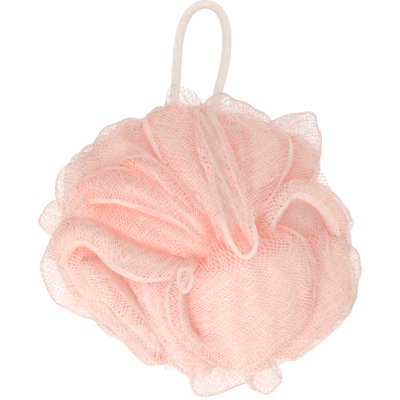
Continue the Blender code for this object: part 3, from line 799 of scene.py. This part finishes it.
def rim_strands(sheet):
    """The crowded strands that run along a fold's rim or a band's edges."""
    u = np.linspace(0, sheet.width, max(8, int(sheet.width / (0.8 * MM))))
    parts = []
    count = BAND_RIM_STRANDS if isinstance(sheet, Band) else RIM_STRANDS
    offsets = side_by_side(count)
    for rim in sheet.rims(u):
        wander = sheet.rng.normal(0, 0.06 * MM, (count, len(u)))
        points, painted_light, facing = sheet.place(np.tile(u, (count, 1)), rim + offsets[:, None] + wander)
        points = points + 0.08 * MM * facing
        verts, faces = ribbons(points, facing, STRAND_WIDTH)
        # The crowded strands are painted a little paler, as more open to the light than the netting they lie
        # on.
        parts.append((verts, faces, np.repeat(painted_light.reshape(-1) + 0.1, 2)))
    return joined(parts)


def hem(ways, closed):
    """A hem of crowded strands along a line of points, painted pale, with the deep netting that shows within
    it, painted deeper in colour as shade.
    """
    line, at = smooth_line(drawn(ways), 0.6 * MM, closed)
    middle = line.mean(axis=0)
    facing = unit(np.array([0, 0, 1.0]) + HEM_LEAN * unit(line - middle))
    across = unit(np.cross(np.gradient(line, axis=0), facing))
    parts = []
    for offset in side_by_side(HEM_STRANDS):
        bow = HEM_BOW * (1 - (offset / (HEM_STRANDS * RIM_SPACING / 2)) ** 2)
        points = (line + offset * across + bow * facing)[None]
        verts, faces = ribbons(points, facing[None], STRAND_WIDTH)
        # Painted light: the hem's strands are painted as open to the light, so pale.
        parts.append((verts, faces, np.full(len(verts), 0.95)))
    rings = [line + share * (middle - line) - [0, 0, HEM_DEPTH] for share in (0, 0.5, 0.95)]
    first = np.arange(len(line))
    beside = np.roll(first, -1)
    ring = np.stack([first, beside, beside + len(line), first + len(line)], axis=1)
    within = np.concatenate(rings)
    # Painted shade: the netting within the hem is painted as half closed from the light, so deeper in colour.
    return joined(parts), (within, np.concatenate([ring, ring + len(line)]), np.full(len(within), 0.4))


def strands(sheet, cell, inset, strand_width):
    """The two crossing sets of strands of a fold or band, as flat ribbons."""
    rng = sheet.rng
    wide, tall = cell[0] / 2, cell[1] / 2
    first, last = sheet.span(inset)
    across = max(4, int(sheet.width / wide))
    across -= across % 2
    up = int((last - first) / tall)
    i = np.arange(across + 1)
    steps = np.arange(up + 1)
    u, s = np.meshgrid(i / across * sheet.width, first + steps / up * (last - first), indexing="ij")
    du = rng.normal(0, STRAY * wide, u.shape)
    ds = rng.normal(0, STRAY * tall, s.shape)
    stretch = 0
    for size, length, height in STRETCHES:
        slant = 2 * math.pi * (u / (length * MM) + s / (height * MM))
        stretch = stretch + size * MM * np.sin(slant + rng.uniform(0, 6))
    if sheet.closed:
        du[-1], ds[-1] = du[0], ds[0]
    ds = (ds + stretch) * ((steps > 0) & (steps < up))
    if sheet.cut:
        fray = rng.normal(0, FRAY, (across + 1, 1))
        s = s + fray * step_between(0.75, 1, (s - first) / (last - first))
    points, painted_light, facing = sheet.place(np.clip(u + du, 0, sheet.width), s + ds)
    made = []
    for turn in (1, -1):
        starts = np.arange(-(up + up % 2), across + 1, 2)
        at = starts[:, None] + steps[None, :]
        if turn < 0:
            at = across - at
        inside = (at >= 0) & (at <= across)
        at = np.clip(at, 0, across)
        line = points[at, steps[None, :]]
        up_from = unit(facing[at, steps[None, :]])
        tilt = rng.choice([-1, 1], size=(len(starts), 1, 1)) * STRAND_TILT
        side = np.cos(tilt) * sideways(line, up_from) + np.sin(tilt) * up_from
        width = strand_width * rng.uniform(0.85, 1.15, (len(starts), 1, 1))
        line = line + turn * 0.04 * MM * up_from
        verts = ribbon_points(line, side, width)
        seen = painted_light[at, steps[None, :]] > (HIDDEN_BELOW if sheet.closed else HIDDEN)
        kept = inside[:, :-1] & inside[:, 1:] & (seen[:, :-1] | seen[:, 1:])
        faces = ribbon_faces(2 * grid_starts(len(starts), up + 1)[kept])
        painted_light_values = np.repeat(painted_light[at, steps[None, :]].reshape(-1), 2)
        used = np.zeros(len(verts), bool)
        used[faces.reshape(-1)] = True
        new = np.cumsum(used) - 1
        made.append((verts[used], new[faces], painted_light_values[used]))
    return joined(made)


def lining(sheet):
    """The dense netting behind the outer strands, as a plain surface. A fold has it only beside the waist."""
    if isinstance(sheet, Fold):
        first, last, sink = 0.05 * sheet.length, sheet.reach * sheet.length, 0.5 * FOLD_THICKNESS
    else:
        first, last, sink = 0.04 * sheet.total, 0.96 * sheet.total, LINING_DEPTH
    columns = np.linspace(0, sheet.width, max(8, int(sheet.width / LINING_GRAIN)))
    rows = np.linspace(first, last, max(8, int((last - first) / LINING_GRAIN)))
    u, s = np.meshgrid(columns, rows)
    points, painted_light, facing = sheet.place(u, s)
    points = points - sink * facing
    count = len(columns)
    a = grid_starts(len(rows) - 1, count).reshape(-1)
    faces = np.stack([a, a + 1, a + 1 + count, a + count], axis=1)
    return points.reshape(-1, 3), faces, painted_light.reshape(-1)


def mesh_object(name, points, faces, painted_light_values=None):
    mesh = bpy.data.meshes.new(name)
    mesh.vertices.add(len(points))
    mesh.vertices.foreach_set("co", points.astype(np.float32).reshape(-1))
    sides = faces.shape[1]
    mesh.loops.add(len(faces) * sides)
    mesh.loops.foreach_set("vertex_index", faces.astype(np.int32).reshape(-1))
    mesh.polygons.add(len(faces))
    mesh.polygons.foreach_set("loop_start", np.arange(len(faces), dtype=np.int32) * sides)
    mesh.update(calc_edges=True)
    if painted_light_values is not None:
        # Each point's painted light and shade value: 1 where the netting is open to the light, less where it
        # is closed from it.
        painted_light = mesh.attributes.new("painted_light", "FLOAT", "POINT")
        painted_light.data.foreach_set("value", painted_light_values.astype(np.float32))
    mesh.shade_smooth()
    obj = bpy.data.objects.new(name, mesh)
    bpy.context.scene.collection.objects.link(obj)
    return obj


def new_material(name):
    """A material with nothing but its output, as itself, its nodes and the socket for its surface."""
    made = bpy.data.materials.new(name)
    made.use_nodes = True
    tree = made.node_tree
    tree.nodes.clear()
    return made, tree, tree.nodes.new("ShaderNodeOutputMaterial").inputs["Surface"]


def fill(tree, socket, value):
    """Gives the socket a plain value, or what another node gives out."""
    if isinstance(value, bpy.types.NodeSocket):
        tree.links.new(value, socket)
    else:
        socket.default_value = value


def node_of(tree, kind, values):
    """A new node with a value for each of these sockets."""
    node = tree.nodes.new(kind)
    for socket, value in values.items():
        fill(tree, node.inputs[socket], value)
    return node


def computed(tree, operation, *values):
    """A number worked out from others."""
    node = tree.nodes.new("ShaderNodeMath")
    node.operation = operation
    for socket, value in zip(node.inputs, values):
        fill(tree, socket, value)
    return node.outputs[0]


def noise_of(tree, scale, detail):
    """Noise that stays on the object."""
    place = tree.nodes.new("ShaderNodeTexCoord").outputs["Object"]
    noise = node_of(tree, "ShaderNodeTexNoise", {"Scale": scale, "Detail": detail, "Vector": place})
    return noise.outputs["Fac"]


def ramp_of(tree, factor, stops):
    """Colours along a factor, from (place, colour) stops."""
    ramp = tree.nodes.new("ShaderNodeValToRGB")
    while len(ramp.color_ramp.elements) < len(stops):
        ramp.color_ramp.elements.new(0.5)
    for element, (place, colour) in zip(ramp.color_ramp.elements, stops):
        element.position = place
        element.color = (*colour, 1)
    tree.links.new(factor, ramp.inputs["Fac"])
    return ramp.outputs["Color"]


def painted_light_varied(tree, amount, scale):
    """The painted light and shade value, made uneven by noise."""
    painted_light = tree.nodes.new("ShaderNodeAttribute")
    painted_light.attribute_name = "painted_light"
    uneven = computed(tree, "MULTIPLY_ADD", noise_of(tree, scale, 3), amount, painted_light.outputs["Fac"])
    return computed(tree, "SUBTRACT", uneven, amount / 2)


def netting_material():
    """Thin strands of pale pink plastic, with painted shade: deeper coral where closed from the light, and a
    painted glow.
    """
    made, tree, surface = new_material("pink_strands")
    varied = painted_light_varied(tree, 0.3, 90)
    # Painted shade: the colour deepens to coral where the netting is less open to the light.
    colour = ramp_of(tree, varied, [
        (0.05, (0.84, 0.46, 0.40)),
        (0.35, (0.84, 0.58, 0.52)),
        (0.6, (0.83, 0.69, 0.64)),
        (1.0, (0.83, 0.76, 0.72)),
    ])
    # Painted glow: the strands give out light though they are no lamp, most where they are closed from the
    # light.
    painted_glow = ramp_of(tree, varied, [
        (0.05, (0.31, 0.16, 0.13)), (0.4, (0.23, 0.15, 0.13)), (0.9, (0.17, 0.13, 0.12)),
    ])
    shader = node_of(tree, "ShaderNodeBsdfPrincipled", {
        "Base Color": colour, "Roughness": 0.42, "Specular IOR Level": 0.35, "Emission Color": painted_glow,
        "Emission Strength": 1.2,
    })
    through = node_of(tree, "ShaderNodeBsdfTranslucent", {"Color": colour})
    mix = node_of(tree, "ShaderNodeMixShader", {"Fac": 0.5, 1: shader.outputs[0], 2: through.outputs[0]})
    tree.links.new(mix.outputs[0], surface)
    return made


def gathers_material():
    """The layers of netting behind the outer one, so close that they close the view: deeper pink as painted
    shade, deepest where they are closed from the light, with a painted glow.
    """
    made, tree, surface = new_material("dense_gathers")
    varied = painted_light_varied(tree, 0.4, 110)
    # Painted shade: deeper coral than the strands, and deeper still where the gathers are closed from the
    # light.
    colour = ramp_of(tree, varied, [
        (0.05, (0.74, 0.29, 0.24)),
        (0.35, (0.70, 0.27, 0.22)),
        (0.8, (0.64, 0.31, 0.27)),
        (1.0, (0.72, 0.46, 0.40)),
    ])
    # Painted glow: the gathers give out light though they are no lamp, most where they are closed from the
    # light.
    painted_glow = ramp_of(tree, varied, [
        (0.05, (0.31, 0.14, 0.11)), (0.4, (0.24, 0.12, 0.10)), (0.95, (0.17, 0.10, 0.08)),
    ])
    place = tree.nodes.new("ShaderNodeTexCoord").outputs["Object"]
    cells = node_of(tree, "ShaderNodeTexVoronoi", {"Scale": 800, "Vector": place})
    cells.feature = "DISTANCE_TO_EDGE"
    bump = node_of(tree, "ShaderNodeBump", {
        "Height": cells.outputs["Distance"], "Distance": 0.5 * MM, "Strength": 0.5,
    })
    shader = node_of(tree, "ShaderNodeBsdfPrincipled", {
        "Base Color": colour, "Roughness": 0.6, "Specular IOR Level": 0.2, "Emission Color": painted_glow,
        "Emission Strength": 1.2, "Normal": bump.outputs["Normal"],
    })
    tree.links.new(shader.outputs[0], surface)
    return made


def cord_material():
    """Cream yarn, a little uneven, with a faint painted glow."""
    made, tree, surface = new_material("cream_cord")
    stops = [(0.3, (0.77, 0.72, 0.65)), (0.7, (0.85, 0.80, 0.73))]
    colour = ramp_of(tree, noise_of(tree, 900, 2), stops)
    # Painted glow: the yarn gives out a little light of its own colour.
    shader = node_of(tree, "ShaderNodeBsdfPrincipled", {
        "Base Color": colour, "Roughness": 0.75, "Sheen Weight": 0.2, "Emission Color": colour,
        "Emission Strength": 0.06,
    })
    tree.links.new(shader.outputs[0], surface)
    return made


def floor_material():
    """White under the camera, with the object's shadow kept faintly on it."""
    made, tree, surface = new_material("white_floor")
    rays = tree.nodes.new("ShaderNodeLightPath").outputs
    seen = computed(tree, "MAXIMUM", rays["Is Camera Ray"], rays["Is Glossy Ray"])
    seen = computed(tree, "MAXIMUM", seen, rays["Is Transmission Ray"])
    share = computed(tree, "MULTIPLY", seen, FLOOR_GLOW)
    lit = node_of(tree, "ShaderNodeBsdfDiffuse", {"Color": (0.92, 0.92, 0.92, 1)})
    white = node_of(tree, "ShaderNodeEmission", {"Strength": 1.02})
    mix = node_of(tree, "ShaderNodeMixShader", {"Fac": share, 1: lit.outputs[0], 2: white.outputs[0]})
    tree.links.new(mix.outputs[0], surface)
    return made


def make_camera():
    """It looks straight down, as in the photo, with the loop at the top."""
    data = bpy.data.cameras.new("camera")
    data.lens = data.sensor_width * CAMERA_HEIGHT / PICTURE_WIDTH
    camera = bpy.data.objects.new("camera", data)
    camera.location = (*PICTURE_MIDDLE, WAIST[2] + CAMERA_HEIGHT)
    bpy.context.scene.collection.objects.link(camera)
    bpy.context.scene.camera = camera


def make_floor():
    bpy.ops.mesh.primitive_plane_add(size=6)
    floor = bpy.context.object
    floor.name = "floor"
    floor.data.materials.append(floor_material())


def make_lights():
    world = bpy.data.worlds.new("soft_studio")
    bpy.context.scene.world = world
    world.use_nodes = True
    tree = world.node_tree
    sky = tree.nodes["Background"]
    sky.inputs["Color"].default_value = (1, 1, 1, 1)
    seen = tree.nodes.new("ShaderNodeLightPath").outputs["Is Camera Ray"]
    level = computed(tree, "MULTIPLY_ADD", seen, 1 - SKY_STRENGTH, SKY_STRENGTH)
    tree.links.new(level, sky.inputs["Strength"])
    for name, place, size, power in LAMPS:
        data = bpy.data.lights.new(name, "AREA")
        data.size = size
        data.energy = power
        lamp = bpy.data.objects.new(name, data)
        lamp.location = place
        aim = Vector((0, 0, WAIST[2])) - Vector(place)
        lamp.rotation_euler = aim.to_track_quat("-Z", "Y").to_euler()
        bpy.context.scene.collection.objects.link(lamp)


def lower_rim(fold):
    """The rim of a lower fold, whose lobes swing out, rise and lean back over themselves."""
    half_width, half_depth = fold["half"]
    points = []
    count = 8 * fold["lobes"]
    for i in range(count):
        angle = 2 * math.pi * i / count
        beat = fold["lobes"] * angle
        lean = angle + math.radians(fold["turn"] + fold["fold_back"] * math.sin(beat))
        swing = fold["swing"] * math.cos(beat)
        height = fold["height"] + fold["rise"] * math.sin(beat + 0.6) + fold["slope"] * math.cos(angle)
        x = (half_width + swing) * math.cos(lean)
        y = (half_depth + swing) * math.sin(lean)
        points.append((x, y, height))
    return points


def lower_name(number):
    return f"lower_{number + 1}"


def all_sheets():
    """Every fold and band of the netting by its name."""
    sheets = {}
    for number, (name, points) in enumerate(UPPER_FOLDS.items()):
        rim = shouldered(drawn(points))
        level = 0.7 * WAIST[2] + 0.3 * float(rim[:, 2].mean())
        sheets[name] = Fold(name, rim, UPPER_BELLY, 1, level, number + 1)
    for number, (name, band) in enumerate(UPPER_BANDS.items()):
        left, right = with_ends(shouldered(drawn(band["left"])), shouldered(drawn(band["right"])))
        sheets[name] = Band(left, right, band["belly"] * MM, number + 51, CREASES.get(name, 0))
    for number, fold in enumerate(LOWER_FOLDS):
        rim = drawn(lower_rim(fold))
        level = WAIST[2] - LOWER_ROOT_DROP
        name = lower_name(number)
        sheets[name] = Fold(name, rim, LOWER_BELLY, -1, level, number + 101, closed=True)
    sheets["bunch"] = Bunch(201)
    return sheets


def measure_all(sheets):
    """Finds how open every sheet is to the light among all the others."""
    points, faces, _ = joined([lining(sheet) for sheet in sheets.values()])
    around = BVHTree.FromPolygons(points.tolist(), faces.tolist())
    for sheet in sheets.values():
        sheet.open = sheet.measure_openness(around)


def belongs(obj, node):
    """Says which solid the piece is seen in place of."""
    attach(obj, "root")
    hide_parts(node)


def shade_shifted(part, name):
    """The part, with its painted shade made lighter or deeper as its fold or band is given."""
    points, faces, painted_light_values = part
    return points, faces, painted_light_values + PAINTED_SHADE_SHIFTS.get(name, 0)


def make_piece(name, parts, lowest, material):
    """A piece of the netting that reaches no lower than this."""
    points, faces, painted_light_values = joined(parts)
    points[:, 2] = np.maximum(points[:, 2], lowest)
    obj = mesh_object(name, points, faces, painted_light_values)
    obj.data.materials.append(material)
    belongs(obj, "netting")


def make_netting(sheets, material):
    """The strands of all folds and bands, of the bunch and of the hems."""
    pieces = dict(NETTING_PIECES)
    for number in range(len(LOWER_FOLDS)):
        pieces[f"netting_under_{number + 1}"] = [lower_name(number)]
    pieces["netting_bunch"] = ["bunch"]
    for name, held in pieces.items():
        parts = []
        if name == "bands_top":
            parts = [hem(ways, closed)[0] for ways, closed in HEMS.values()]
        for fold in held:
            sheet = sheets[fold]
            if not (sheet.cut or isinstance(sheet, Bunch)):
                parts.append(shade_shifted(rim_strands(sheet), fold))
            if isinstance(sheet, Band):
                look = (FINE_CELL, BAND_INSET, STRAND_WIDTH * BROADER.get(fold, 1))
            elif sheet.closed:
                look = (COARSE_CELL, LOWER_INSET, STRAND_WIDTH)
            else:
                look = (LOOSE_CELL, LOOSE_INSET, LOOSE_STRAND_WIDTH)
            parts.append(shade_shifted(strands(sheet, *look), fold))
        make_piece(name, parts, 0.2 * MM, material)


def make_gathers(sheets, material):
    """Dense inner layers, which close the view between the folds."""
    parts = [shade_shifted(lining(sheet), name) for name, sheet in sheets.items()]
    parts += [hem(ways, closed)[1] for ways, closed in HEMS.values()]
    make_piece("inner_gathers", parts, 0.6 * MM, material)


def cord_line(step):
    """The cord's middle line from the knot to the loop and back."""
    left = WAIST[0] - LEG_SPREAD / 2
    right = WAIST[0] + LEG_SPREAD / 2
    ways = [(left, KNOT_FRONT, WAIST[2]), (left, KNOT_FRONT + LEG_STRAIGHT, WAIST[2])]
    ways += [tuple(np.array(point) * MM) for point in LOOP_ROUTE]
    ways += [(right, KNOT_FRONT + LEG_STRAIGHT, WAIST[2]), (right, KNOT_FRONT, WAIST[2])]
    return smooth_line(ways, step)


def make_cord(material):
    """The braided cord: strands that cross round it."""
    step = 0.22 * MM
    line, at = cord_line(step)
    tangent = unit(np.gradient(line, axis=0))
    across = unit(np.cross(tangent, [0, 0, 1.0]) + 1e-6)
    third = np.cross(tangent, across)
    sides = 24
    angle = np.linspace(0, 2 * math.pi, sides, endpoint=False)[None, :]
    climb = at[:, None] * math.pi / BRAID_PITCH
    braid = 0.5 * (np.abs(np.sin(4 * angle + climb)) + np.abs(np.sin(4 * angle - climb)))
    rib = np.abs(np.sin(at * math.pi / RIB_PITCH))[:, None]
    radius = CORD_DIAMETER / 2 * (0.84 + 0.1 * braid + 0.14 * rib)
    ring = across[:, None, :] * np.cos(angle)[..., None] + third[:, None, :] * np.sin(angle)[..., None]
    points = (line[:, None, :] + radius[..., None] * ring).reshape(-1, 3)
    r, c = np.meshgrid(np.arange(len(line) - 1), np.arange(sides), indexing="ij")
    near, far = r * sides, (r + 1) * sides
    beside = (c + 1) % sides
    faces = np.stack([near + c, near + beside, far + beside, far + c], axis=-1).reshape(-1, 4)
    cord = mesh_object("braided_cord", points, faces)
    cord.data.materials.append(material)
    belongs(cord, "hanging_loop")


def main():
    bpy.context.scene.view_settings.view_transform = "Standard"
    make_camera()
    make_floor()
    make_lights()
    cream = cord_material()
    make_cord(cream)
    sheets = all_sheets()
    measure_all(sheets)
    make_netting(sheets, netting_material())
    make_gathers(sheets, gathers_material())
    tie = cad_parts["waist_tie"]
    tie.data.materials.clear()
    tie.data.materials.append(cream)


main()
